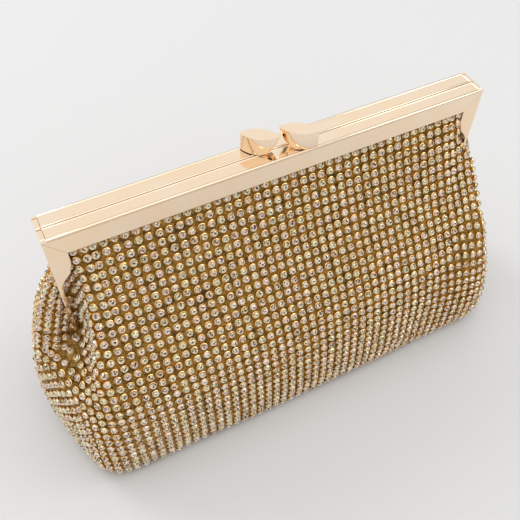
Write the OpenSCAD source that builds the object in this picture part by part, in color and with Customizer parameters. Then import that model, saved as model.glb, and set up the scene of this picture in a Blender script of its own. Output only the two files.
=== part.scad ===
// Evening bag with a kiss-lock frame: a crystal-mesh body on a two-part hinged metal frame.
// Units are millimetres. The origin is the middle of the base on the floor, +Z up, -Y the front.

/* [Frame] */
// Length of the frame over its two outer corners
frame_l = 200; // [160:1:240]
// Depth of one half of the frame, front to back
half_d = 7.1; // [6:0.1:9]
// Height of the top rails' front plates
plate_h = 9.5; // [7:0.5:13]
// Width of the arms' front plates at the corners
arm_w = 8; // [6:0.5:11]
// Thickness of the frame's metal
metal_t = 1.1; // [0.8:0.1:1.4]
// Distance from the frame's top down to the hinge axis
hinge_drop = 69; // [60:1:76]

/* [Body] */
// Height of the frame's top over the floor
body_h = 132; // [126:1:140]
// Half depth of the body at its base
base_half_d = 46; // [40:1:50]
// Half width of the body at the four lower corners
corner_half_w = 100; // [98:1:106]
// Half width of the body at the middle of its base
belly_half_w = 118; // [112:1:124]
// Thickness of the crystal mesh with its stones
mesh_t = 1.8; // [1.2:0.1:2.2]

/* [Lock] */
// Length of one lock head
head_l = 16.8; // [14:0.2:20]
// Width of one lock head
head_w = 6.8; // [5:0.2:8]
// Height of the lock heads over the rails
head_h = 8.5; // [7:0.5:10]
// Angle of the lock heads to the frame, in degrees
head_turn = 33.6; // [25:0.1:38]

/* [Hidden] */

$fn = 48;
end_x = frame_l / 2;              // outer face of the arms
rail_end = end_x - 2.2;           // where the rails' webs meet the arms' corner blocks
seam_y = 0.1;                     // half the gap between the two halves of the frame
hinge_z = body_h - hinge_drop;
pin_r = 1.25;
pin_bore_r = pin_r + 0.05;
ear_r = 3.3;
ear_t = 1.0;                      // thickness of a hinge ear
outer_ear = [end_x - ear_t, end_x];
washer = [end_x - 1.35, end_x - 1.05];
inner_ear = [end_x - 2.4, end_x - 1.4];
head_r = 2.2;                     // radius of the rivets' heads
bar_w = 1.8;                      // width of an arm's bar below its scoop
bar_d = 1.9;                      // depth of that bar
scoop_z = 28;                     // drop from the frame's top to the foot of the scoop
cord_r = 1.3;
lining_t = 0.6;
board_t = 1.2;
layer_gap = 0.2;                  // clearance between the layers of the body
lap = 2.6;                        // how far the upper panels pass inside the lower ones
lock_shift = 0.65;                // the pair of lock heads sits this far right of the middle
stud_h = 3;                       // how far a stud reaches into its lock head

// Where the front head's tip lies, just behind the seam; the rear head is turned half round
tip = [0.95, 2.7];
foot = [tip[0] + head_l * cos(head_turn), tip[1] - head_l * sin(head_turn)];
stud_at = [foot[0] - 4.4 * cos(head_turn), foot[1] + 4.4 * sin(head_turn)];

// A cubic Bezier value between four numbers or points
function bez(p, t) =
    pow(1 - t, 3) * p[0] + 3 * pow(1 - t, 2) * t * p[1] + 3 * (1 - t) * t * t * p[2] + pow(t, 3) * p[3];

// The body's side profile from the rail (t = 0) to the floor (t = 1), as [half depth, height]
profile = [
    [half_d - metal_t, body_h - plate_h],
    [15, body_h - 40],
    [base_half_d + 10, body_h - 80],
    [base_half_d, 0]
];
function depth(t) = bez(profile, t)[0];
function level(t) = bez(profile, t)[1];
// Half width at the corners and at the middle of the gussets, down the same profile
function corner_w(t) = bez([96, 96, 94, corner_half_w], t);
function belly_w(t) = bez([99, 108, belly_half_w + 12, belly_half_w], t);
// The profile parameter at a height, by bisection
function at_level(z, lo = 0, hi = 1, n = 24) =
    n == 0 ? (lo + hi) / 2
    : level((lo + hi) / 2) > z ? at_level(z, (lo + hi) / 2, hi, n - 1)
    : at_level(z, lo, (lo + hi) / 2, n - 1);

t_hinge = at_level(hinge_z);
t_floor = at_level(mesh_t + 0.1);
t_gusset_top = at_level(body_h - 25);

// A closed wall between two offsets of a curved sheet: sheet(u, v, inset) gives a point
module wall(sheet, inset, nu, nv) {
    row = nu + 1;
    count = row * (nv + 1);
    points = [
        for (layer = inset)
            for (j = [0 : nv])
                for (i = [0 : nu])
                    sheet(i / nu, j / nv, layer)
    ];
    skin = [
        for (j = [0 : nv - 1])
            for (i = [0 : nu - 1])
                let (a = j * row + i, b = a + 1, c = a + row, d = c + 1)
                    each [[a, b, d], [a, d, c]]
    ];
    under = [for (f = skin) [f[2] + count, f[1] + count, f[0] + count]];
    rim = concat(
        [for (i = [0 : nu - 1]) i],
        [for (j = [0 : nv - 1]) j * row + nu],
        [for (i = [0 : nu - 1]) nv * row + nu - i],
        [for (j = [0 : nv - 1]) (nv - j) * row]
    );
    edge = [
        for (k = [0 : len(rim) - 1])
            let (a = rim[k], b = rim[(k + 1) % len(rim)])
                each [[b, a, a + count], [b, a + count, b + count]]
    ];
    polyhedron(points, concat(skin, under, edge), convexity = 8);
}

module right_side() { mirror([1, 0, 0]) children(); }
module rear_side() { mirror([0, 1, 0]) children(); }

// A cylinder along X between two planes, centred on the hinge axis
module along_x(x, r, y = 0, z = hinge_z) {
    translate([x[0], y, z]) rotate([0, 90, 0]) cylinder(h = x[1] - x[0], r = r);
}

// An outline in the XZ plane, with heights counted down from the frame's top, from y0 to y1
module front_view(points, y0, y1) {
    translate([0, y1, body_h]) rotate([90, 0, 0]) linear_extrude(y1 - y0) polygon(points);
}

// An outline in the YZ plane, with heights counted down from the frame's top, from x0 to x1
module side_view(points, x0, x1) {
    translate([x0, 0, body_h]) rotate([90, 0, 90]) linear_extrude(x1 - x0) polygon(points);
}

// ---- Frame ----

// One half's top rail: a channel that opens downwards, with a bead along each top edge and a stud hole
module rail(stud) {
    color("#e9cfae") difference() {
        union() {
            side_view([
                [-half_d, 0], [-seam_y, 0], [-seam_y, -plate_h], [-seam_y - metal_t, -plate_h],
                [-seam_y - metal_t, -metal_t], [-half_d, -metal_t]
            ], -rail_end, rail_end);
            front_view([
                [-end_x + 0.02, -0.02], [end_x - 0.02, -0.02],
                [end_x - arm_w, -plate_h], [-end_x + arm_w, -plate_h]
            ], -half_d, -half_d + metal_t);
            along_x([-rail_end, rail_end], 0.75, -half_d + 0.6, body_h - 0.35);
            along_x([-rail_end, rail_end], 0.5, -seam_y - 0.5, body_h - 0.3);
        }
        translate([stud[0], stud[1], body_h - 2 * metal_t]) cylinder(h = 3 * metal_t, r = pin_bore_r);
    }
}

// A left front arm: mitred corner plate, side wall, and the bar that runs down to the ear
module arm(ear, foot_in) {
    bar_x = -end_x + bar_w;
    plate_back = -half_d + metal_t + 0.02;   // just behind the rail's mitred front plate
    color("#e9cfae") difference() {
        union() {
            front_view([
                [-end_x, 0], [-end_x + arm_w, -plate_h], [-end_x + arm_w, -16], [-end_x + 6.6, -21.4],
                [-end_x + 3.6, -24.8], [bar_x, -scoop_z], [-end_x, -scoop_z]
            ], -half_d, -half_d + metal_t);
            side_view([
                [plate_back, 0], [-seam_y, 0], [-seam_y, -17], [-1.6, -22.5], [-half_d + bar_d, -scoop_z],
                [-half_d + 0.5, -scoop_z], [-half_d + 0.5, -3], [plate_back, -3]
            ], -end_x, -end_x + metal_t);
            side_view([
                [plate_back, 0], [-seam_y, 0], [-seam_y, -plate_h], [plate_back, -plate_h]
            ], -end_x, -rail_end);
            side_view([
                [-half_d, -scoop_z + 1], [-half_d + bar_d, -scoop_z + 1], [-half_d + bar_d, -40],
                [-2.4, -hinge_drop + 6.5], [-4.3, -hinge_drop + 6.5], [-half_d, -40]
            ], -end_x, bar_x);
            side_view([
                [-4.3, -hinge_drop + 6.5], [-2.4, -hinge_drop + 6.5], [-2.1, -hinge_drop + 3.9],
                [-3.6, -hinge_drop + 3.9]
            ], -end_x, foot_in);
            side_view([
                [-3.9, -hinge_drop + 5], [-2.2, -hinge_drop + 5], [1, -hinge_drop + 2], [-ear_r, -hinge_drop]
            ], ear[0], ear[1]);
            along_x(ear, ear_r);
        }
        along_x([-end_x - 1, -end_x + 4], pin_bore_r);
    }
}

left_outer_ear = [-outer_ear[1], -outer_ear[0]];
left_inner_ear = [-inner_ear[1], -inner_ear[0]];

module front_rail() { rail([lock_shift + stud_at[0], stud_at[1]]); }
module rear_rail() { rear_side() rail([lock_shift - stud_at[0], stud_at[1]]); }
module front_arm_left() { arm(left_outer_ear, -outer_ear[0]); }
module front_arm_right() { right_side() front_arm_left(); }
module rear_arm_left() { rear_side() arm(left_inner_ear, -inner_ear[0]); }
module rear_arm_right() { right_side() rear_arm_left(); }

// The rivet through both ears: a shank with a head at each end
module hinge_rivet_left() {
    color("#d9b98c") {
        along_x([-end_x - 0.5, -inner_ear[0] + 0.3], pin_r);
        along_x([-end_x - 0.9, -end_x - 0.05], head_r);
        along_x([-inner_ear[0] + 0.05, -inner_ear[0] + 0.7], head_r);
    }
}
module hinge_rivet_right() { right_side() hinge_rivet_left(); }

// The washer between the two ears
module hinge_washer_left() {
    color("#cfa96f") difference() {
        along_x([-washer[1], -washer[0]], ear_r - 0.4);
        along_x([-washer[1] - 1, -washer[0] + 1], pin_bore_r);
    }
}
module hinge_washer_right() { right_side() hinge_washer_left(); }

// ---- Lock ----

// A lock head from its foot (at the origin, on the rail) along +X to its tip, top face up
module lock_head_shape() {
    bow_r = (pow(head_l / 2, 2) + pow(head_w / 2, 2)) / head_w;
    keel_r = 11;
    keel_x = head_l - 10.8;
    intersection() {
        intersection() {
            translate([head_l / 2, bow_r - head_w / 2, 0]) cylinder(h = head_h, r = bow_r, $fn = 96);
            translate([head_l / 2, head_w / 2 - bow_r, 0]) cylinder(h = head_h, r = bow_r, $fn = 96);
        }
        union() {
            translate([keel_x, head_w, keel_r]) rotate([90, 0, 0])
                cylinder(h = 2 * head_w, r = keel_r, $fn = 96);
            translate([-1, -head_w, 0]) cube([keel_x + 1, 2 * head_w, head_h]);
        }
        translate([0.5, -head_w, 0.4]) cube([head_l - 0.6, 2 * head_w, head_h]);
    }
}

module half_turn() {
    translate([lock_shift, 0, 0]) rotate([0, 0, 180]) translate([-lock_shift, 0, 0]) children();
}

module front_lock_head() {
    color("#e6c9a4") difference() {
        translate([lock_shift + foot[0], foot[1], body_h]) rotate([0, 0, 180 - head_turn]) lock_head_shape();
        translate([lock_shift + stud_at[0], stud_at[1], body_h]) cylinder(h = stud_h, r = pin_r);
    }
}
module rear_lock_head() { half_turn() front_lock_head(); }

// The stud that holds a lock head: its shank fills the head's bore, and its foot spreads under the rail's web
module front_lock_stud() {
    color("#cfa96f") translate([lock_shift + stud_at[0], stud_at[1], body_h]) {
        translate([0, 0, -metal_t - 0.5]) cylinder(h = stud_h + metal_t + 0.4, r = pin_r - 0.02);
        translate([0, 0, -metal_t - 0.95]) cylinder(h = 0.9, r = 1.8);
    }
}
module rear_lock_stud() { half_turn() front_lock_stud(); }

// ---- Fabric held by the frame ----

cord_y = -seam_y - metal_t - cord_r - 0.1;

// The paper cord pressed into a rail's channel to jam the fabric against the front plate
module front_channel_cord() {
    color("#d8c7a0") along_x([-rail_end + 4, rail_end - 4], cord_r, cord_y, body_h - 4.4);
}
module rear_channel_cord() { rear_side() front_channel_cord(); }

// The part of a panel that hangs from the rail, tapering in to pass inside the lower panel
upper_points = function (inset_half_w, t_end) function (u, v, inset)
    let (t = v * t_end, x = (2 * u - 1) * (bez([91, 91, 93, 94.2], v) - inset_half_w))
        [x, -depth(t) + 0.1 + lap * pow(v, 3) + inset, level(t)];

module front_upper_panel() {
    color("#b8923f") {
        wall(upper_points(0, t_hinge), [0, 1.2], 4, 14);
        translate([-91, -half_d + metal_t + 0.1, body_h - plate_h - 0.2])
            cube([182, 1.2, plate_h - metal_t - 0.8]);
    }
}
module rear_upper_panel() { rear_side() front_upper_panel(); }

module front_upper_lining() {
    color("#c9b48a") {
        wall(upper_points(1.5, t_hinge - 0.02), [1.2 + layer_gap, 1.2 + layer_gap + 0.5], 4, 14);
    }
}
module rear_upper_lining() { rear_side() front_upper_lining(); }

// ---- Body ----

// The lower front sheet, between two profile parameters and within a half width
lower_points = function (t0, t1, trim) function (u, v, inset)
    let (t = t0 + v * (t1 - t0), x = (2 * u - 1) * (corner_w(t) - trim))
        [x, -depth(t) + inset, level(t)];

module front_lower_panel() {
    color("#b8923f") wall(lower_points(t_hinge, t_floor, 0.2), [0, mesh_t], 4, 12);
}
module rear_lower_panel() { rear_side() front_lower_panel(); }

// The left gusset: full depth below the hinge, narrowing above it to a fold outside the arms
fold_clear = end_x + 2.2;
gusset_points = function (u, v, inset)
    let (
        t = t_gusset_top + v * (t_floor - t_gusset_top),
        rise = max(0, min(1, (level(t) - hinge_z) / (hinge_drop - 25))),
        past = min(1, 3 * rise),
        half = (depth(t) - mesh_t - layer_gap) * (1 - rise) + 5 * rise,
        edge = corner_w(t) * (1 - past) + fold_clear * past,
        y = (2 * u - 1) * half,
        belly = max(belly_w(t), edge + 2.5)
    )
        [-(edge + (belly - edge) * (1 - pow(abs(2 * u - 1), 2.5))) + inset * 0.999, -y, level(t)];

module left_gusset() { color("#b08a3a") wall(gusset_points, [0, mesh_t], 18, 16); }
module right_gusset() { right_side() left_gusset(); }

// The outline of the base, pulled in by a margin
function base_outline(margin) = let (f = base_half_d - margin, n = 16) concat(
    [for (i = [0 : n]) let (y = f * (2 * i / n - 1))
        [corner_half_w - margin + (belly_half_w - corner_half_w) * (1 - pow(abs(y / f), 2.5)), y]],
    [for (i = [0 : n]) let (y = f * (1 - 2 * i / n))
        [-(corner_half_w - margin + (belly_half_w - corner_half_w) * (1 - pow(abs(y / f), 2.5))), y]]
);

module base_panel() { color("#a5803a") linear_extrude(mesh_t) polygon(base_outline(0)); }

lining_half_w = end_x - 4.4;       // inner faces of the gussets' linings
base_board_z = mesh_t + layer_gap;
base_lining_z = base_board_z + board_t + layer_gap;
floor_z = base_lining_z + lining_t + layer_gap;
t_board_top = at_level(hinge_z - 6);

module base_board() {
    color("#8f8a80") translate([0, 0, base_board_z]) linear_extrude(board_t) polygon(base_outline(4));
}
module base_lining() {
    color("#c9b48a") translate([-lining_half_w, -base_half_d + 5, base_lining_z])
        cube([2 * lining_half_w, 2 * base_half_d - 10, lining_t]);
}

board_in = mesh_t + layer_gap;
lining_in = board_in + board_t + layer_gap;
pocket_in = lining_in + lining_t + layer_gap;

module front_stiffener() {
    color("#8f8a80")
        wall(lower_points(t_board_top, at_level(floor_z), 8), [board_in, board_in + board_t], 4, 10);
}
module rear_stiffener() { rear_side() front_stiffener(); }

module front_lining() {
    color("#c9b48a")
        wall(lower_points(t_board_top, at_level(floor_z), 8), [lining_in, lining_in + lining_t], 4, 10);
}
module rear_lining() { rear_side() front_lining(); }

// The slip pocket sewn to the rear lining
pocket_points = function (u, v, inset)
    let (t = at_level(hinge_z - 12) + v * (at_level(14) - at_level(hinge_z - 12)))
        [(2 * u - 1) * 45, -depth(t) + inset, level(t)];
module slip_pocket() {
    color("#c2aa7c") rear_side() wall(pocket_points, [pocket_in, pocket_in + 0.8], 2, 8);
}

// The left gusset's lining: a flat wall inside the arms that narrows towards the frame
module left_gusset_lining() {
    n = 12;
    t0 = at_level(body_h - 32);
    t1 = at_level(floor_z);
    half = [for (i = [0 : n]) let (t = t0 + i / n * (t1 - t0)) [depth(t) - 6.4, level(t) - body_h]];
    color("#c9b48a")
        side_view(concat([for (p = half) [-p[0], p[1]]], [for (i = [0 : n]) half[n - i]]),
            -lining_half_w, -lining_half_w + lining_t);
}
module right_gusset_lining() { right_side() left_gusset_lining(); }

front_rail();
rear_rail();
front_arm_left();
front_arm_right();
rear_arm_left();
rear_arm_right();
hinge_rivet_left();
hinge_rivet_right();
hinge_washer_left();
hinge_washer_right();
front_lock_head();
rear_lock_head();
front_lock_stud();
rear_lock_stud();
front_channel_cord();
rear_channel_cord();
front_upper_panel();
rear_upper_panel();
front_upper_lining();
rear_upper_lining();
front_lower_panel();
rear_lower_panel();
left_gusset();
right_gusset();
base_panel();
front_stiffener();
rear_stiffener();
base_board();
front_lining();
rear_lining();
left_gusset_lining();
right_gusset_lining();
base_lining();
slip_pocket();
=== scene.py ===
"""Looks of a kiss-lock evening bag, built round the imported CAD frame. Lengths are in millimetres."""

import math

import bpy
import numpy as np
from mathutils import Matrix, Vector


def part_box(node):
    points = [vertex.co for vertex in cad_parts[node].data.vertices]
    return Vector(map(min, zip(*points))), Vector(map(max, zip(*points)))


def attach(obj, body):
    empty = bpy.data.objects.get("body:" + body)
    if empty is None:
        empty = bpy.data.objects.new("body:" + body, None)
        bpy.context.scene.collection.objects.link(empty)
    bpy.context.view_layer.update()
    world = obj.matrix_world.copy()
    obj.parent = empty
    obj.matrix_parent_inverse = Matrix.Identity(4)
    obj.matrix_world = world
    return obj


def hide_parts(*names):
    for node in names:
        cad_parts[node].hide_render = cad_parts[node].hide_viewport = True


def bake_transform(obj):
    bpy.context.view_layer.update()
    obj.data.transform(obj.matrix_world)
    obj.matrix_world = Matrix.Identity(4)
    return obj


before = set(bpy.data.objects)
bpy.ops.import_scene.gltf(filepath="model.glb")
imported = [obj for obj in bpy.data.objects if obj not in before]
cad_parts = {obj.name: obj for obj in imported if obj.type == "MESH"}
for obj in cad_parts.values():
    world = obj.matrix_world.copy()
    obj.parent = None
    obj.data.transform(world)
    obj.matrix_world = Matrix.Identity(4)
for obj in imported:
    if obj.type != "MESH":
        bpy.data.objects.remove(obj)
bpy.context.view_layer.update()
MM = 0.001
rng = np.random.default_rng(7)

# ---- Sizes ----
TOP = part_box("front_arm_left")[1][2] / MM      # height of the frame's top
HINGE = 63.0                                   # height of the hinge axis
EDGE_X = 87.0                                  # where a panel's flat part ends
BLEND_LOW, BLEND_HIGH = 10.0, 100.0            # heights between which the body gives way to the frame
PITCH = 4.35                                   # spacing of the stones, both ways
STONE_R = 1.82                                 # radius of a stone's cup
CLOTH_IN = 1.0                                 # the mesh cloth lies this far inside the body's outline
CLOTH_T = 0.5                                  # thickness of the mesh cloth
BOARD_IN, BOARD_T = 2.1, 1.0                   # the same for the boards
LINING_IN, LINING_T = 3.6, 0.4                 # the same for the lining
LINING_SLACK = 1.3                             # how far the lining's creases stand inward
LINING_X = 83.4                                # where the panels' lining meets the sides' lining
LINING_REACH = 89.0                            # how far outward the sides' lining stands
POCKET_IN, POCKET_X = 5.4, 45.0                # the slip pocket's inset and half width
BASE_CLOTH_Z, BASE_STONE_Z = 1.95, 2.25        # heights of the base's cloth and of its stones' feet
BASE_LINING_Z = 3.75                           # height of the lining on the base board
WEB_TOP_DROP = 21.0                            # the gussets' webs start this far below the frame's top
KNEE_DROP = 66.0                               # the gussets widen below this drop
FOOT_MARGIN = 1.7                              # no stone stands nearer to the floor along the cloth

# Sections of the body's front left quarter, by drop below the frame's top, as (outward, forward) pairs:
# the panel's edge, the ridge, the pleat's bottom, the groove the arm lies in, the gusset's shoulder and
# its middle.
SECTIONS = [
    (9.0, (86, 5.8), (91.0, 5.4), (93.0, 4.9), (94.6, 4.0), (95.6, 2.0), (96.0, 0)),
    (16.0, (86, 8.4), (90.4, 7.2), (92.0, 5.6), (94.8, 4.1), (96.6, 2.2), (97.2, 0)),
    (22.0, (86, 11.0), (89.8, 9.6), (91.8, 6.2), (95.4, 4.0), (98.0, 2.4), (99.6, 0)),
    (29.0, (86, 14.2), (90.6, 12.4), (92.2, 6.8), (96.0, 3.6), (101.2, 3.0), (105.0, 0)),
    (38.0, (86, 18.6), (91.6, 16.6), (92.4, 8.6), (96.2, 3.2), (104.4, 3.8), (109.6, 0)),
    (50.0, (87, 25.4), (93.8, 23.4), (93.4, 12.4), (96.6, 2.8), (107.2, 4.6), (113.8, 0)),
    (60.0, (87, 32.0), (96.6, 30.2), (96.2, 16.0), (97.4, 2.8), (109.4, 5.6), (116.6, 0)),
    (65.0, (87, 35.0), (98.6, 33.2), (99.4, 20.0), (100.4, 6.4), (110.8, 6.8), (117.6, 0)),
    (70.0, (87, 37.8), (99.0, 35.8), (103.2, 26.0), (105.6, 13.0), (113.0, 8.6), (118.6, 0)),
    (76.0, (87, 40.8), (99.2, 38.6), (105.2, 31.0), (109.4, 21.0), (115.4, 10.8), (119.8, 0)),
    (88.0, (87, 44.8), (100.0, 42.6), (107.2, 37.0), (112.0, 27.6), (117.6, 14.0), (121.6, 0)),
    (106.0, (87, 47.3), (102.0, 45.6), (109.2, 40.8), (114.2, 30.0), (119.4, 15.0), (122.6, 0)),
    (122.0, (87, 47.6), (103.0, 46.2), (109.8, 41.8), (114.6, 31.0), (119.2, 15.0), (121.8, 0)),
    (128.0, (87, 46.6), (102.0, 45.2), (108.6, 40.8), (113.2, 30.2), (117.6, 14.4), (120.0, 0)),
    (131.2, (87, 44.2), (100.4, 42.8), (106.6, 38.6), (111.0, 28.6), (115.2, 13.6), (117.4, 0)),
]


# ---- Mesh helpers ----
def make_mesh(name, verts, faces, materials, slots=None, smooth=True):
    """An object from millimetre points; slots gives each face's material index."""
    mesh = bpy.data.meshes.new(name)
    mesh.from_pydata((np.asarray(verts, float) * MM).tolist(), [], faces)
    for material in materials:
        mesh.materials.append(material)
    if slots is not None:
        mesh.polygons.foreach_set("material_index", np.asarray(slots, np.int32))
    mesh.polygons.foreach_set("use_smooth", [smooth] * len(mesh.polygons))
    mesh.update()
    obj = bpy.data.objects.new(name, mesh)
    bpy.context.scene.collection.objects.link(obj)
    return obj


def resample(line, samples):
    """The polyline's points at the given distances, or at that many even steps."""
    d = np.concatenate([[0], np.cumsum(np.linalg.norm(np.diff(line, axis=0), axis=1))])
    s = np.linspace(0, d[-1], samples) if np.isscalar(samples) else samples
    return np.stack([np.interp(s, d, line[:, k]) for k in range(line.shape[1])], axis=1)


def spline(points, samples):
    """Points evenly spaced along a centripetal Catmull-Rom curve through the given ones."""
    p = np.asarray(points, float)
    p = np.vstack([2 * p[0] - p[1], p, 2 * p[-1] - p[-2]])
    knots = np.concatenate([[0], np.cumsum(np.sqrt(np.linalg.norm(np.diff(p, axis=0), axis=1)))])
    out = []
    for i in range(1, len(p) - 2):
        t0, t1, t2, t3 = knots[i - 1 : i + 3]
        t = np.linspace(t1, t2, 20, endpoint=False)[:, None]
        a1 = (t1 - t) / (t1 - t0) * p[i - 1] + (t - t0) / (t1 - t0) * p[i]
        a2 = (t2 - t) / (t2 - t1) * p[i] + (t - t1) / (t2 - t1) * p[i + 1]
        a3 = (t3 - t) / (t3 - t2) * p[i + 1] + (t - t2) / (t3 - t2) * p[i + 2]
        b1 = (t2 - t) / (t2 - t0) * a1 + (t - t0) / (t2 - t0) * a2
        b2 = (t3 - t) / (t3 - t1) * a2 + (t - t1) / (t3 - t1) * a3
        out.append((t2 - t) / (t2 - t1) * b1 + (t - t1) / (t2 - t1) * b2)
    return resample(np.vstack(out + [p[-2:-1]]), samples)


def length_of(line):
    """The length of a polyline."""
    return float(np.linalg.norm(np.diff(line, axis=0), axis=1).sum())


def unit(vectors):
    """The vectors at length 1."""
    return vectors / np.linalg.norm(vectors, axis=-1, keepdims=True)


def grid_faces(rows, cols):
    """Four-sided faces between the points of a grid, counted row by row."""
    return [(j * cols + i, j * cols + i + 1, (j + 1) * cols + i + 1, (j + 1) * cols + i)
            for j in range(rows - 1) for i in range(cols - 1)]


def grid_normals(grid, outward):
    """Unit normals of a grid of points, turned to the side that outward lies on."""
    normal = unit(np.cross(np.gradient(grid, axis=0), np.gradient(grid, axis=1)))
    middle = normal[grid.shape[0] * 2 // 3, grid.shape[1] // 2]
    return normal if middle @ np.asarray(outward) > 0 else -normal


def lookup(grid, s, u):
    """Bilinear lookup: s runs down the panel's length, u from 0 to 1 across the grid."""
    rows, cols = grid.shape[:2]
    r = np.clip(s / PROFILE_LENGTH * (rows - 1), 0, rows - 1.001)
    c = np.clip(u * (cols - 1), 0, cols - 1.001)
    i, j = r.astype(int), c.astype(int)
    fr, fc = (r - i)[:, None], (c - j)[:, None]
    upper = (1 - fc) * grid[i, j] + fc * grid[i, j + 1]
    lower = (1 - fc) * grid[i + 1, j] + fc * grid[i + 1, j + 1]
    return (1 - fr) * upper + fr * lower


def sheet_between(name, outer, inner, material):
    """A closed sheet between two grids of points."""
    rows, cols = outer.shape[:2]
    n = rows * cols
    first_row = list(range(cols))
    last_column = [j * cols + cols - 1 for j in range(1, rows)]
    last_row = [(rows - 1) * cols + i for i in range(cols - 2, -1, -1)]
    first_column = [j * cols for j in range(rows - 2, 0, -1)]
    rim = first_row + last_column + last_row + first_column
    faces = grid_faces(rows, cols)
    faces += [tuple(v + n for v in reversed(f)) for f in grid_faces(rows, cols)]
    faces += [(b, a, a + n, b + n) for a, b in zip(rim, rim[1:] + rim[:1])]
    return make_mesh(name, np.vstack([outer.reshape(-1, 3), inner.reshape(-1, 3)]), faces, [material])


# ---- The body's shape ----
def section_at(drop):
    """The control points of the quarter section at a drop below the frame's top."""
    drops = np.array([s[0] for s in SECTIONS])
    table = np.array([[c for pair in s[1:] for c in pair] for s in SECTIONS], float)
    slopes = np.gradient(table, drops, axis=0)
    i = int(np.clip(np.searchsorted(drops, drop) - 1, 0, len(drops) - 2))
    h = drops[i + 1] - drops[i]
    t = np.clip((drop - drops[i]) / h, 0, 1)
    a = (1 + 2 * t) * (1 - t) ** 2 * table[i] + t * (1 - t) ** 2 * h * slopes[i]
    b = t * t * (3 - 2 * t) * table[i + 1] + t * t * (t - 1) * h * slopes[i + 1]
    return (a + b).reshape(6, 2)


def quarter_section(drop):
    """The quarter's section as 200 (outward, forward) points from the panel's edge to the gusset's middle,
    and the share of its length that lies before the arm's groove."""
    points = section_at(drop)
    edge, groove, middle = points[0], points[3], points[5]
    mirrored = points[4::-1][:3] * [1, -1]
    full = spline(np.vstack([[edge - [16, 0]], points, mirrored]), 1400)
    start = int(np.argmin(np.linalg.norm(full - edge, axis=1)))
    end = start + int(np.argmin(np.linalg.norm(full[start:] - middle, axis=1)))
    split = start + int(np.argmin(np.linalg.norm(full[start:end] - groove, axis=1)))
    line = full[start : end + 1].copy()
    line[0], line[-1] = edge, middle
    share = length_of(full[start : split + 1]) / length_of(line)
    return resample(line, 200), share


DENSE_DROPS = np.linspace(SECTIONS[0][0], SECTIONS[-1][0], 240)
PROFILE = np.array([[section_at(d)[0][1], d] for d in DENSE_DROPS])
PROFILE_LENGTH = length_of(PROFILE)
FINE_S = np.linspace(0, PROFILE_LENGTH, 150)
FINE_PROFILE = resample(PROFILE, FINE_S)


def waves(x, z):
    """Small slow swells of the cloth, the same left and right, in millimetres."""
    x = np.abs(x)
    return 0.35 * np.sin(x / 17 + z / 31) * np.sin(z / 19 + 1.3) + 0.2 * np.sin(x / 7.3 + 2) * np.sin(z / 11)


def front_panel_grid(columns=121):
    """The front panel's surface as a grid of points, from -EDGE_X to EDGE_X."""
    x, y = np.meshgrid(np.linspace(-EDGE_X, EDGE_X, columns), FINE_PROFILE[:, 0])
    z = np.repeat(TOP - FINE_PROFILE[:, 1][:, None], columns, axis=1)
    return np.stack([x, -y - waves(x, z) * np.clip(y / 30, 0, 1), z], axis=2)


def quarter_grid():
    """The front left quarter beyond the panel's edge: its grid, its rows' lengths, and the groove's share of
    each length."""
    rows, lengths, shares = [], [], []
    for _, drop in FINE_PROFILE:
        line, share = quarter_section(drop)
        z = np.full(len(line), TOP - drop)
        fade = np.linspace(1, 0, len(line)) * np.clip(line[:, 1] / 30, 0, 1)
        rows.append(np.stack([-line[:, 0], -line[:, 1] - waves(line[:, 0], z) * fade, z], axis=1))
        lengths.append(length_of(line))
        shares.append(share)
    return np.array(rows), np.array(lengths), np.array(shares)


PANEL = front_panel_grid()
QUARTER, QUARTER_LENGTH, QUARTER_SHARE = quarter_grid()
PANEL_N = grid_normals(PANEL, (0, -1, 0))
QUARTER_COLUMNS = np.linspace(0, 1, QUARTER.shape[1])
WEB_TOP_ROW = int(np.searchsorted(FINE_PROFILE[:, 1], WEB_TOP_DROP))


# ---- Materials ----
def new_material(name):
    """A material with its node tree and its surface shader."""
    material = bpy.data.materials.new(name)
    material.use_nodes = True
    tree = material.node_tree
    return material, tree, tree.nodes["Principled BSDF"]


def node(tree, kind, **values):
    """A new shader node whose inputs or settings have the given values."""
    made = tree.nodes.new(kind)
    for key, value in values.items():
        if key in made.inputs.keys():
            made.inputs[key].default_value = value
        else:
            setattr(made, key, value)
    return made


def ramp(tree, source, stops):
    """The source's value turned into a colour, by stops of (value, colour)."""
    made = tree.nodes.new("ShaderNodeValToRGB")
    made.color_ramp.elements[0].position = stops[0][0]
    made.color_ramp.elements[0].color = (*stops[0][1], 1)
    made.color_ramp.elements[1].position = stops[-1][0]
    made.color_ramp.elements[1].color = (*stops[-1][1], 1)
    for position, colour in stops[1:-1]:
        made.color_ramp.elements.new(position).color = (*colour, 1)
    tree.links.new(source, made.inputs["Fac"])
    return made.outputs["Color"]


def bump_from(tree, shader, height, strength, distance, invert=False):
    """Lets the height disturb the shader's normal."""
    bump = node(tree, "ShaderNodeBump", Strength=strength, Distance=distance)
    bump.invert = invert
    tree.links.new(height, bump.inputs["Height"])
    tree.links.new(bump.outputs["Normal"], shader.inputs["Normal"])


def rough_from(tree, shader, source, low, high):
    """Lets the source set the shader's roughness, between low and high."""
    spread = node(tree, "ShaderNodeMapRange")
    spread.inputs["To Min"].default_value = low
    spread.inputs["To Max"].default_value = high
    tree.links.new(source, spread.inputs["Value"])
    tree.links.new(spread.outputs["Result"], shader.inputs["Roughness"])


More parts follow.
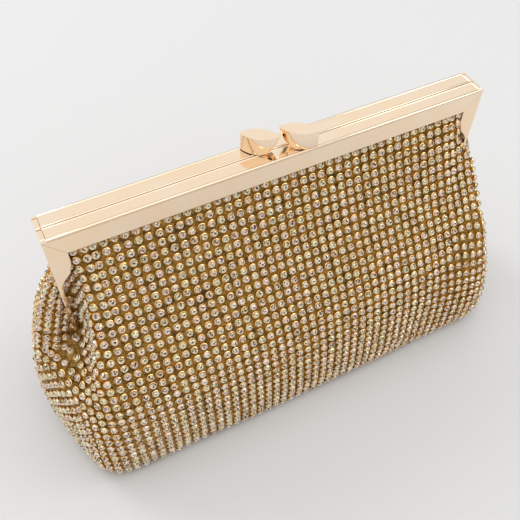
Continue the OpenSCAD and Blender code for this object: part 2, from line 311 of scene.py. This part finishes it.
def gold_plate(name, colour, roughness):
    """Polished light-gold plating with slow tone changes and faint polishing marks."""
    material, tree, shader = new_material(name)
    place = tree.nodes.new("ShaderNodeTexCoord").outputs["Object"]
    cloud = node(tree, "ShaderNodeTexNoise", Scale=70.0, Detail=4.0)
    tree.links.new(place, cloud.inputs["Vector"])
    warm = tuple(min(1, c * k) for c, k in zip(colour, (1.02, 0.95, 0.88)))
    tone = ramp(tree, cloud.outputs["Fac"], [(0.35, colour), (0.7, warm)])
    tree.links.new(tone, shader.inputs["Base Color"])
    rough_from(tree, shader, cloud.outputs["Fac"], roughness * 0.7, roughness * 1.5)
    shader.inputs["Metallic"].default_value = 1.0
    fine = node(tree, "ShaderNodeTexNoise", Scale=700.0, Detail=2.0)
    tree.links.new(place, fine.inputs["Vector"])
    bump_from(tree, shader, fine.outputs["Fac"], 0.02, 0.0002)
    return material


def mesh_cloth():
    """Old-gold metal mesh: tiny rounded links with dark gaps."""
    material, tree, shader = new_material("gold_mesh")
    place = tree.nodes.new("ShaderNodeTexCoord").outputs["Object"]
    links = node(tree, "ShaderNodeTexVoronoi", Scale=1100.0)
    tree.links.new(place, links.inputs["Vector"])
    tone = node(tree, "ShaderNodeTexNoise", Scale=330.0, Detail=3.0)
    tree.links.new(place, tone.inputs["Vector"])
    mix = node(tree, "ShaderNodeMath", operation="MULTIPLY_ADD")
    mix.inputs[1].default_value = 0.45
    tree.links.new(links.outputs["Distance"], mix.inputs[0])
    tree.links.new(tone.outputs["Fac"], mix.inputs[2])
    colour = ramp(tree, mix.outputs["Value"], [
        (0.40, (0.50, 0.34, 0.06)), (0.60, (0.50, 0.24, 0.035)), (0.78, (0.27, 0.15, 0.02)),
        (1.0, (0.08, 0.04, 0.01))])
    tree.links.new(colour, shader.inputs["Base Color"])
    shader.inputs["Metallic"].default_value = 0.5
    shader.inputs["Roughness"].default_value = 0.4
    bump_from(tree, shader, links.outputs["Distance"], 0.5, 0.0002, invert=True)
    return material


def crystal():
    """Foiled crystal: every facet keeps its own tone of painted light (painted reflections and painted
    shade) and its tint, read from the mesh.
    """
    material, tree, shader = new_material("crystal")
    tone = node(tree, "ShaderNodeAttribute", attribute_name="facet_painted_light")
    tint = node(tree, "ShaderNodeAttribute", attribute_name="stone_tint")
    # The painted facet light as colour: near black for painted shade, near white for painted highlights.
    grey = ramp(tree, tone.outputs["Fac"], [
        (0.0, (0.03, 0.02, 0.02)), (0.22, (0.20, 0.15, 0.11)), (0.45, (0.68, 0.58, 0.46)),
        (0.7, (0.98, 0.91, 0.80)), (1.0, (1.0, 0.99, 0.95))])
    hue = ramp(tree, tint.outputs["Fac"], [
        (0.0, (1.0, 0.84, 0.66)), (0.2, (1.0, 0.87, 0.78)), (0.4, (1.0, 0.90, 0.88)),
        (0.6, (1.0, 0.94, 0.80)), (0.8, (0.97, 0.97, 0.76)), (1.0, (1.0, 0.93, 0.66))])
    mix = node(tree, "ShaderNodeMix", data_type="RGBA", blend_type="MULTIPLY")
    mix.inputs[0].default_value = 1.0
    tree.links.new(grey, mix.inputs[6])
    tree.links.new(hue, mix.inputs[7])
    tree.links.new(mix.outputs[2], shader.inputs["Base Color"])
    shader.inputs["Metallic"].default_value = 0.45
    shader.inputs["Roughness"].default_value = 0.06
    return material


def satin(name, colour, dark):
    """Woven satin with fine thread lines and a soft sheen."""
    material, tree, shader = new_material(name)
    place = tree.nodes.new("ShaderNodeTexCoord").outputs["Object"]
    threads = node(tree, "ShaderNodeTexWave", Scale=900.0, Distortion=1.5)
    threads.bands_direction = "Z"
    tree.links.new(place, threads.inputs["Vector"])
    cloud = node(tree, "ShaderNodeTexNoise", Scale=35.0, Detail=3.0)
    tree.links.new(place, cloud.inputs["Vector"])
    tone = ramp(tree, cloud.outputs["Fac"], [(0.3, dark), (0.7, colour)])
    tree.links.new(tone, shader.inputs["Base Color"])
    rough_from(tree, shader, threads.outputs["Fac"], 0.3, 0.45)
    shader.inputs["Sheen Weight"].default_value = 0.4
    bump_from(tree, shader, threads.outputs["Fac"], 0.2, 0.0001)
    return material


def fibrous(name, colour, dark, scale):
    """Pressed paper or board: short fibres and a dull surface."""
    material, tree, shader = new_material(name)
    place = tree.nodes.new("ShaderNodeTexCoord").outputs["Object"]
    fibres = node(tree, "ShaderNodeTexNoise", Scale=scale, Detail=8.0)
    tree.links.new(place, fibres.inputs["Vector"])
    tone = ramp(tree, fibres.outputs["Fac"], [(0.3, dark), (0.7, colour)])
    tree.links.new(tone, shader.inputs["Base Color"])
    shader.inputs["Roughness"].default_value = 0.9
    bump_from(tree, shader, fibres.outputs["Fac"], 0.4, 0.0002)
    return material


FRAME_GOLD = gold_plate("frame_gold", (0.96, 0.79, 0.60), 0.08)
CUP_GOLD = gold_plate("cup_gold", (0.95, 0.67, 0.30), 0.2)
HARDWARE_GOLD = gold_plate("hardware_gold", (0.85, 0.66, 0.42), 0.16)
MESH_CLOTH = mesh_cloth()
CRYSTAL = crystal()
LINING = satin("lining_satin", (0.66, 0.53, 0.34), (0.52, 0.40, 0.24))
BOARD = fibrous("grey_board", (0.42, 0.39, 0.34), (0.28, 0.26, 0.22), 400.0)
PAPER = fibrous("kraft_paper", (0.62, 0.50, 0.32), (0.45, 0.34, 0.20), 900.0)


# ---- Stones ----
SIDES = 10                                     # facets round a stone


def stone_template():
    """One crystal in its flared cup, standing on z = 0: its points, its faces, each face's ring (0 for the
    cup, 1 to 3 for the crystal, from the girdle to the table), and each face's direction."""
    def ring(radius, height, turn=0.0):
        a = (np.arange(SIDES) + turn) * 2 * math.pi / SIDES
        return np.stack([radius * np.cos(a), radius * np.sin(a), np.full(SIDES, height)], axis=1)

    rings = [ring(STONE_R * 0.72, -0.4), ring(STONE_R, 0.95), ring(STONE_R * 0.87, 1.15),
             ring(STONE_R * 0.87, 1.05), ring(STONE_R * 0.66, 1.75, 0.5), ring(STONE_R * 0.32, 2.1)]
    verts = np.vstack(rings + [[[0, 0, 2.06]]])
    faces, kinds = [], []
    for i in range(SIDES):
        j = (i + 1) % SIDES
        a, b, c, d, e, f = ([k * SIDES + i, k * SIDES + j] for k in range(6))
        faces += [(a[0], a[1], b[1], b[0]), (b[0], b[1], c[1], c[0])]
        faces += [(d[0], d[1], e[0]), (d[1], e[1], e[0])]
        faces += [(e[0], f[1], f[0]), (e[0], e[1], f[1])]
        faces += [(f[0], f[1], 6 * SIDES)]
        kinds += [0, 0, 1, 1, 2, 2, 3]
    centres = np.array([verts[list(f)].mean(axis=0)[:2] for f in faces])
    return verts, faces, np.array(kinds), np.arctan2(centres[:, 1], centres[:, 0])


STONE = stone_template()
# Painted light on the crystals, standing in for a foiled crystal's reflections: painted highlights low down
# and painted shade high up, with random painted glints. For each ring: the mean tone, its swing from top to
# bottom, and its spread.
PAINTED_FACET_LIGHT = {1: (0.82, 0.26, 0.28), 2: (0.84, 0.42, 0.30), 3: (0.34, 0.34, 0.34)}


def set_stones(name, places, normals, painted_light_toward=(0, 0, -1.0)):
    """One mesh of stones at the places, each tilted and turned a little at random. Their facets carry
    painted reflections: painted light on the side towards the given direction, painted shade on the far
    side."""
    painted_light_toward = np.array(painted_light_toward, float)
    verts, faces, kinds, angles = STONE
    n = len(places)
    normals = unit(normals + rng.normal(0, 0.05, (n, 3)))
    down = unit(painted_light_toward - normals * np.einsum("ij,j->i", normals, painted_light_toward)[:, None])
    side = np.cross(normals, down)
    turn = rng.uniform(0, 2 * math.pi, n)
    c, s = np.cos(turn)[:, None], np.sin(turn)[:, None]
    u, v = down * c + side * s, side * c - down * s
    places = places + rng.normal(0, 0.08, (n, 3))
    points = (places[:, None, :] + verts[None, :, 0:1] * u[:, None, :]
              + verts[None, :, 1:2] * v[:, None, :] + verts[None, :, 2:3] * normals[:, None, :])
    base = np.arange(n) * len(verts)
    all_faces = [tuple(i + b for i in f) for b in base.tolist() for f in faces]
    slots = np.tile(kinds > 0, n)
    obj = make_mesh(name, points.reshape(-1, 3), all_faces, [CUP_GOLD, CRYSTAL], slots, smooth=False)
    # Painted light: facets facing the given direction get painted highlights, the far ones painted shade;
    # the random spread stands in for glints.
    lowness = np.cos(angles[None, :] + turn[:, None])
    tone = np.zeros((n, len(faces)))
    for kind, (mean, swing, spread) in PAINTED_FACET_LIGHT.items():
        here = kinds == kind
        tone[:, here] = mean + swing * lowness[:, here] + rng.normal(0, spread, (n, int(here.sum())))
    tone = np.clip(tone + rng.normal(0, 0.06, (n, 1)), 0, 1)
    tint = np.repeat(rng.random(n), len(faces))
    for label, values in (("facet_painted_light", tone.ravel()), ("stone_tint", tint)):
        layer = obj.data.attributes.new(label, "FLOAT", "FACE")
        layer.data.foreach_set("value", values.astype(np.float32))
    return obj


# ---- Mirroring and placing soft pieces ----
def to_quarter(points, rear, right):
    """Points or directions of the front left, mirrored to another quarter of the bag."""
    return points * [-1 if right else 1, -1 if rear else 1, 1]


def follow_frame(obj):
    """Bakes the piece's placement into its mesh."""
    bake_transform(obj)


# How much a point of a gusset's web would follow the arm beside it: a base share, and shares for each
# millimetre outward, forward and up. Here it only sorts the web's stones into bands.
WEB_SHARE = (0.362, -0.148, 0.0994, 0.0109)


def follow_arm(obj):
    """Bakes the piece's placement into its mesh."""
    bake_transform(obj)


# ---- The crystal mesh ----
ROW_S = np.arange(2.4, PROFILE_LENGTH + 20, PITCH)
COLUMN_X = np.arange(-20, 21) * PITCH
COLUMN_X = COLUMN_X[np.abs(COLUMN_X) < EDGE_X]
SIDE_COLUMNS = COLUMN_X[-1] + PITCH + PITCH * np.arange(16)


def droop(a, s):
    """How far the mesh is pulled askew beyond a slanting crease."""
    crease = np.interp(s, [45, 62, 80, 100, 125], [97, 84, 70, 61, 56])
    past = np.clip(a - crease, 0, None)
    return past ** 2 / (past + 8)


def mesh_coordinates(columns, askew):
    """Where the crossings of the mesh lie, as distances across and down. Askew, they droop on the right."""
    a, s = (m.ravel() for m in np.meshgrid(columns, ROW_S))
    pull = droop(a, s) if askew else np.zeros(len(a))
    return a + 0.15 * pull, s + 0.42 * pull


def front_panel(rear):
    """The mesh of one panel between its edges, with its stones."""
    half = "rear" if rear else "front"
    middle = PANEL - PANEL_N * CLOTH_IN
    cloth = sheet_between(half + "_mesh", to_quarter(middle, rear, False),
                          to_quarter(middle - PANEL_N * CLOTH_T, rear, False), MESH_CLOTH)
    a, s = mesh_coordinates(COLUMN_X, not rear)
    keep = (s < PROFILE_LENGTH - FOOT_MARGIN) & (a < EDGE_X + 0.5 * PITCH)
    a, s = a[keep], s[keep]
    u = (a + EDGE_X) / (2 * EDGE_X)
    normals = lookup(PANEL_N, s, u)
    places = lookup(PANEL, s, u) - normals * CLOTH_IN
    stones = set_stones(half + "_stones", to_quarter(places, rear, False), to_quarter(normals, rear, False))
    for piece in (cloth, stones):
        follow_frame(piece)
    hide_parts(half + "_upper_panel", half + "_lower_panel")


def bulged_quarter():
    """The quarter's surface at the front's right, where the mesh swells out over the arm, and the lengths of
    its rows as far as the groove."""
    grid = QUARTER.copy()
    forward = -grid[:, :, 1]
    swell = np.interp(TOP - grid[:, :, 2], [12, 24, 34, 48, 66, 84], [0, 4.5, 7.5, 6.5, 3.0, 0])
    ahead = np.clip((forward - 7.5) / 7, 0, 1)
    beyond = np.clip((-grid[:, :, 0] - EDGE_X) / 4, 0, 1)
    grid[:, :, 0] -= swell * ahead * ahead * (3 - 2 * ahead) * beyond
    edge_length = QUARTER_SHARE * QUARTER_LENGTH
    for r, (row, share) in enumerate(zip(grid, QUARTER_SHARE)):
        end = int(np.searchsorted(QUARTER_COLUMNS, share))
        edge_length[r] = length_of(row[: end + 1])
        row[: end + 1] = resample(row[: end + 1], end + 1)
    return grid, edge_length


def length_at(s):
    """The length of the quarter's row at a distance down the panel."""
    return np.interp(s, FINE_S, QUARTER_LENGTH)


def share_at(s):
    """The groove's share of that length."""
    return np.interp(s, FINE_S, QUARTER_SHARE)


def edge_columns(along, s, edge_length):
    """Each stone's place across the quarter, and which ones lie on its edge."""
    u = share_at(s) * along / np.interp(s, FINE_S, edge_length)
    return u, s, (s > 1.5) & (u <= share_at(s)) & (along > -0.5 * PITCH)


def web_columns(along, s):
    """Each stone's place across the quarter, and which ones lie on its web. Above the knee the columns keep
    their distance from the middle, and the rows climb towards it."""
    knee = np.interp(KNEE_DROP, FINE_PROFILE[:, 1], FINE_S)

    def shifted(s):
        return along + length_at(np.minimum(s, knee)) - length_at(knee)

    beyond = np.clip(shifted(s) - share_at(s) * length_at(s), 0, None)
    s = s - beyond * np.interp(s, [40, 90, 130], [0.55, 0.35, 0.05])
    u = shifted(s) / length_at(s)
    inside = (u > share_at(s)) & (shifted(s) < length_at(s) - 0.42 * PITCH)
    return u, s, (s > FINE_S[WEB_TOP_ROW] + 1.5) & inside


def stone_places(surface, surface_n, u, s, keep, to_middle):
    """Places and normals of the kept stones. to_middle adds a stone on the middle line wherever the last one
    ends well before it."""
    keep = keep & (s < PROFILE_LENGTH - FOOT_MARGIN)
    gap = (1 - u) * length_at(s)
    alone = keep & (gap > 0.92 * PITCH) & (gap <= 1.42 * PITCH) & to_middle
    s = np.concatenate([s[keep], s[alone]])
    u = np.concatenate([u[keep], np.ones(alone.sum())])
    normals = lookup(surface_n, s, u)
    return lookup(surface, s, u) - normals * CLOTH_IN, normals


def banded_stones(label, places, normals, bands=12):
    """The web's stones in bands by their share, each band a mesh of its own, baked in place."""
    base, out, forward, up = WEB_SHARE
    x, y, z = places.T
    t = base + out * (np.abs(x) - 95) + forward * np.abs(y) + up * (z - HINGE)
    band = np.clip(np.floor(t * bands), -1, bands)
    pieces = []
    for b in np.unique(band):
        here = band == b
        stones = set_stones(f"{label}_{int(b) + 1:02d}", places[here], normals[here])
        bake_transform(stones)
        pieces.append(stones)
    return pieces


def lookup_row(row, at):
    """Points of one of the quarter's rows at the given shares of its length."""
    return np.stack([np.interp(at, QUARTER_COLUMNS, row[:, k]) for k in range(3)], axis=1)


def quarter_cloth(surface, surface_n, part):
    """The outer and the inner grid of the mesh cloth on the quarter's edge, or on its web."""
    outer = surface - surface_n * CLOTH_IN
    inner = outer - surface_n * CLOTH_T
    rows = []
    for r in range(0 if part == "edge" else WEB_TOP_ROW, len(surface)):
        share = QUARTER_SHARE[r]
        at = np.linspace(0, min(1, share + 0.06), 40) if part == "edge" else np.linspace(share, 1, 36)
        rows.append([lookup_row(grid[r], at) for grid in (outer, inner)])
    return np.array(rows).transpose(1, 0, 2, 3)


def quarter(rear, right):
    """The mesh of one quarter beyond the panel: an edge, and a web whose stones lie in bands. Returns the
    web."""
    half = "rear" if rear else "front"
    side = "right" if right else "left"
    swollen = right and not rear
    surface, edge_length = bulged_quarter() if swollen else (QUARTER, QUARTER_SHARE * QUARTER_LENGTH)
    surface_n = grid_normals(surface, (-1, -1, 0))
    grids, cloths = {}, {}
    for part in ("edge", "web"):
        grids[part], inner = quarter_cloth(surface, surface_n, part)
        cloths[part] = sheet_between(f"{side}_{half}_{part}_mesh", to_quarter(grids[part], rear, right),
                                     to_quarter(inner, rear, right), MESH_CLOTH)
    follow_frame(cloths["edge"])
    follow_arm(cloths["web"])

    a, s = mesh_coordinates(SIDE_COLUMNS, swollen)
    places, normals = stone_places(surface, surface_n, *edge_columns(a - EDGE_X, s, edge_length), False)
    edge_stones = set_stones(f"{side}_{half}_edge_stones", to_quarter(places, rear, right),
                             to_quarter(normals, rear, right))
    follow_frame(edge_stones)
    places, normals = stone_places(surface, surface_n, *web_columns(a - EDGE_X, s), not rear)
    web_stones = banded_stones(f"{side}_{half}_web_stones", to_quarter(places, rear, right),
                               to_quarter(normals, rear, right))
    return cloths["web"]


def base_mesh():
    """The mesh under the bag, with stones that stand on the floor."""
    front, side = PANEL[-1], QUARTER[-1]
    loop = np.vstack([side[::-1], front[1:-1], side * [-1, 1, 1]])
    t = np.linspace(0, 1, 24)[:, None, None]
    spine = np.stack([np.clip(loop[:, 0], -75, 75), np.zeros(len(loop)), np.zeros(len(loop))], axis=1)
    half = loop * (1 - t) + spine * t
    grid = np.concatenate([half, (half * [1, -1, 1])[::-1][1:]])
    grid[:, :, 2] = BASE_CLOTH_Z
    cloth = sheet_between("base_mesh", grid, grid - [0, 0, CLOTH_T - 0.05], MESH_CLOTH)
    x, y = (m.ravel() for m in np.meshgrid(np.arange(-28, 29) * PITCH, np.arange(-10, 11) * PITCH))
    limit = np.interp(np.abs(y), -side[::-1, 1], -side[::-1, 0])
    keep = (np.abs(x) < limit - 1.5) & (np.abs(y) < -side[0, 1] - 1.5)
    places = np.stack([x, y, np.full(len(x), BASE_STONE_Z)], axis=1)[keep]
    # These stones get their painted light on their front side.
    stones = set_stones("base_stones", places, np.tile([0, 0, -1.0], (len(places), 1)), painted_light_toward=(0, -1.0, 0))
    for piece in (cloth, stones):
        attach(piece, "bag")
    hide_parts("base_panel")


# ---- Boards and linings ----
def creases(x, z):
    """Soft folds of loose satin, between 0 and 1."""
    wave = (0.5 * np.sin(x / 7 + 2.2 * np.sin(z / 29 + x / 60)) + 0.3 * np.sin((x + 0.8 * z) / 11 + 1)
            + 0.2 * np.sin(z / 8 + 1.6 * np.sin(x / 21)))
    return 0.5 + 0.5 * wave


def panel_layer(inset, drops, half_width, columns=60, slack=0.0):
    """A piece of the panel's surface moved inward, between two drops and within a half width."""
    s = np.interp(np.linspace(*drops, 70), FINE_PROFILE[:, 1], FINE_S)
    u = (np.linspace(-half_width, half_width, columns) + EDGE_X) / (2 * EDGE_X)
    ss, uu = (m.ravel() for m in np.meshgrid(s, u, indexing="ij"))
    normals = lookup(PANEL_N, ss, uu)
    inset = np.resize(inset, len(ss)) + slack * creases(uu * 2 * EDGE_X, ss)
    points = lookup(PANEL, ss, uu) - normals * inset[:, None]
    return points.reshape(len(s), len(u), 3)


def lining_side(top, rows=100, columns=70):
    """The lining beyond the panel, below the drop top, as two grids: the corner's edge, and the web from
    there to a fold that stands inward at the middle."""
    grid = []
    for drop in np.linspace(top, 127, rows):
        depth = np.interp(drop, FINE_PROFILE[:, 1], FINE_PROFILE[:, 0])
        fold = max(0, (TOP - drop - BLEND_LOW) / 18)
        y = max(depth - 4.0, 2.0)
        z = TOP - drop
        line = spline([(78, y), (83.5, y - 0.1), (87.4, y - 1.2), (LINING_REACH, y * 0.78),
                       (LINING_REACH, y * 0.5), (LINING_REACH - fold * 0.5, y * 0.22),
                       (LINING_REACH - fold, 0), (LINING_REACH - fold * 0.5, -y * 0.22)], 400)
        end = int(np.argmax(line[:, 1] < 0))
        start = int(np.argmax(line[:, 0] > 83.0))
        split = int(np.argmax(line[:, 1] < y * 0.78))
        line[:, 0] -= 1.2 * creases(line[:, 1] * 2, z) * np.clip((line[:, 0] - 86) / 3, 0, 1)
        edge = resample(line[start : split + 1], columns // 2)
        web = resample(line[split:end], columns // 2)
        web[-1, 1] = 0
        row = np.vstack([edge, web])
        grid.append(np.stack([-row[:, 0], -row[:, 1], np.full(len(row), z)], axis=1))
    grid = np.array(grid)
    return grid[:, : columns // 2], grid[:, columns // 2 :]


def layer_piece(name, grid, thickness, material, rear, right=False):
    """A closed sheet whose outer face is the grid, thickened towards the bag's inside."""
    normal = grid_normals(grid, (-1, -1, 0))
    piece = sheet_between(name, to_quarter(grid, rear, right),
                          to_quarter(grid - normal * thickness, rear, right), material)
    return piece


def front_inside(rear):
    """The board and the lining of one panel. The lining starts inside the rail."""
    half = "rear" if rear else "front"
    board = layer_piece(half + "_board", panel_layer(BOARD_IN, (76, 128), 90), BOARD_T, BOARD, rear)
    follow_frame(board)
    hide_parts(half + "_stiffener")
    grid = panel_layer(LINING_IN, (9.0, 127.5), LINING_X, 160, LINING_SLACK)
    grid[:, :, 1] = np.minimum(grid[:, :, 1], -2.4)
    grid = np.concatenate([grid[:1] + [[[0, 0, 6.0]]], grid])
    satin_sheet = layer_piece(half + "_satin", grid, LINING_T, LINING, rear)
    follow_frame(satin_sheet)
    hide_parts(half + "_upper_lining", half + "_lining")


def pocket():
    """The slip pocket on the rear lining, a little slack, with a rolled top hem."""
    rows, columns = 70, 60
    v, u = np.meshgrid(np.linspace(0, 1, rows), np.linspace(-1, 1, columns), indexing="ij")
    slack = 1.2 * (1 - u ** 2) * (1 - v) ** 0.7
    hem = 0.5 * np.exp(-((v - 0.04) / 0.03) ** 2)
    grid = panel_layer((POCKET_IN + slack).ravel(), (81, 118), POCKET_X, columns)
    normal = grid_normals(grid, (0, -1, 0))
    under = grid - normal * (0.5 + hem)[:, :, None]
    piece = sheet_between("pocket_satin", to_quarter(grid, True, False),
                          to_quarter(under, True, False), LINING)
    follow_frame(piece)
    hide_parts("slip_pocket")


def side_inside(rear, right):
    """The lining of one quarter beyond the panel: an edge up to the frame, and a web below. Returns the
    web."""
    half = "rear" if rear else "front"
    side = "right" if right else "left"
    edge_grid = lining_side(11.0)[0]
    web_grid = lining_side(24.0)[1]
    edge = layer_piece(f"{side}_{half}_edge_satin", edge_grid, LINING_T, LINING, rear, right)
    web = layer_piece(f"{side}_{half}_web_satin", web_grid, LINING_T, LINING, rear, right)
    follow_frame(edge)
    follow_arm(web)
    return web


def base_satin():
    """The lining on the base board, lying loosely."""
    x, y = np.meshgrid(np.linspace(-93, 93, 70), np.linspace(-40, 40, 40))
    swell = 0.15 * np.sin(x / 9) * np.sin(y / 7 + 1)
    grid = np.stack([x, y, BASE_LINING_Z + swell], axis=2)
    piece = sheet_between("base_satin", grid, grid - [0, 0, LINING_T], LINING)
    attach(piece, "bag")
    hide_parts("base_lining")


for rear in (False, True):
    front_panel(rear)
for right in (False, True):
    webs = [quarter(rear, right) for rear in (False, True)]
    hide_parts(("right" if right else "left") + "_gusset")
base_mesh()
for rear in (False, True):
    front_inside(rear)
for right in (False, True):
    webs = [side_inside(rear, right) for rear in (False, True)]
    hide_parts(("right" if right else "left") + "_gusset_lining")
pocket()
base_satin()


# ---- Frame pieces keep their CAD shapes, with finer edges and real materials ----
def finish_cad(name, material, edge):
    """Gives a CAD piece its material and, where edge isn't 0, bevels of that width. The arms' bevels aren't
    clamped, so that the corner joints show."""
    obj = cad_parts[name]
    obj.data.materials.clear()
    obj.data.materials.append(material)
    if edge:
        weld = obj.modifiers.new("weld", "WELD")
        weld.merge_threshold = 1e-5
        bevel = obj.modifiers.new("edge", "BEVEL")
        bevel.width = edge * MM
        bevel.segments = 3
        bevel.limit_method = "ANGLE"
        bevel.angle_limit = math.radians(35)
        bevel.use_clamp_overlap = "arm" not in name


for name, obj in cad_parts.items():
    if "rail" in name or "arm" in name:
        finish_cad(name, FRAME_GOLD, 0.45)
    elif "lock_head" in name:
        finish_cad(name, FRAME_GOLD, 0.5)
    elif "rivet" in name or "washer" in name or "stud" in name:
        finish_cad(name, HARDWARE_GOLD, 0.15)
    elif "lining" in name or name == "slip_pocket":
        finish_cad(name, LINING, 0)
    elif "cord" in name:
        finish_cad(name, PAPER, 0)
    elif "board" in name or "stiffener" in name:
        finish_cad(name, BOARD, 0)
    elif name == "base_panel":
        finish_cad(name, MESH_CLOTH, 0)


# ---- Stage, light and camera ----
def stage_floor():
    """A plain pale floor."""
    material, tree, shader = new_material("floor")
    shader.inputs["Base Color"].default_value = (0.73, 0.73, 0.73, 1)
    shader.inputs["Roughness"].default_value = 0.9
    reach = 3000
    corners = [[-reach, -reach, 0], [reach, -reach, 0], [reach, reach, 0], [-reach, reach, 0]]
    make_mesh("floor", corners, [(0, 1, 2, 3)], [material])


def soft_light(name, place, target, size, power):
    """A round lamp at a place in metres that shines on the target."""
    data = bpy.data.lights.new(name, "AREA")
    data.shape = "DISK"
    data.size = size
    data.energy = power
    light = bpy.data.objects.new(name, data)
    light.location = place
    light.rotation_euler = (Vector(target) - Vector(place)).to_track_quat("-Z", "Y").to_euler()
    bpy.context.scene.collection.objects.link(light)


CAMERA_AZIMUTH, CAMERA_ELEVATION, CAMERA_ROLL = -27.5, 51.9, -0.85
CAMERA_PLACE = (-99.8, -177.6, TOP + 185.4)
CAMERA_LENS = 46.1


def camera():
    """The camera, from its angles in degrees, its place in millimetres and its lens."""
    a, e, r = (math.radians(v) for v in (CAMERA_AZIMUTH, CAMERA_ELEVATION, CAMERA_ROLL))
    back = Vector((math.sin(a) * math.cos(e), -math.cos(a) * math.cos(e), math.sin(e)))
    right = Vector((math.cos(a), math.sin(a), 0))
    up = back.cross(right)
    basis = Matrix((right, up, back)).transposed() @ Matrix.Rotation(-r, 3, "Z")
    data = bpy.data.cameras.new("camera")
    data.lens = CAMERA_LENS
    data.sensor_width = 36
    cam = bpy.data.objects.new("camera", data)
    cam.matrix_world = Matrix.Translation(Vector(CAMERA_PLACE) * MM) @ basis.to_4x4()
    bpy.context.scene.collection.objects.link(cam)
    bpy.context.scene.camera = cam


def studio():
    """A white studio, darker near the horizon and brighter overhead, and two soft lamps."""
    world = bpy.data.worlds.new("world")
    world.use_nodes = True
    tree = world.node_tree
    place = tree.nodes.new("ShaderNodeTexCoord").outputs["Generated"]
    split = tree.nodes.new("ShaderNodeSeparateXYZ")
    tree.links.new(place, split.inputs[0])
    colour = ramp(tree, split.outputs["Z"], [
        (0.0, (0.16, 0.15, 0.14)), (0.14, (0.18, 0.16, 0.15)), (0.4, (0.85, 0.84, 0.83)),
        (0.6, (1.0, 1.0, 1.0)), (0.88, (1.0, 1.0, 1.0)), (0.95, (1.6, 1.6, 1.6))])
    tree.links.new(colour, tree.nodes["Background"].inputs["Color"])
    tree.nodes["Background"].inputs["Strength"].default_value = 0.94
    bpy.context.scene.world = world
    bpy.context.scene.view_settings.view_transform = "Standard"
    soft_light("key", (-0.45, 0.75, 0.9), (0, 0, 0.05), 0.45, 2.6)
    soft_light("fill", (0.8, -0.3, 0.9), (0, 0, 0.05), 0.5, 1.6)


stage_floor()
camera()
studio()
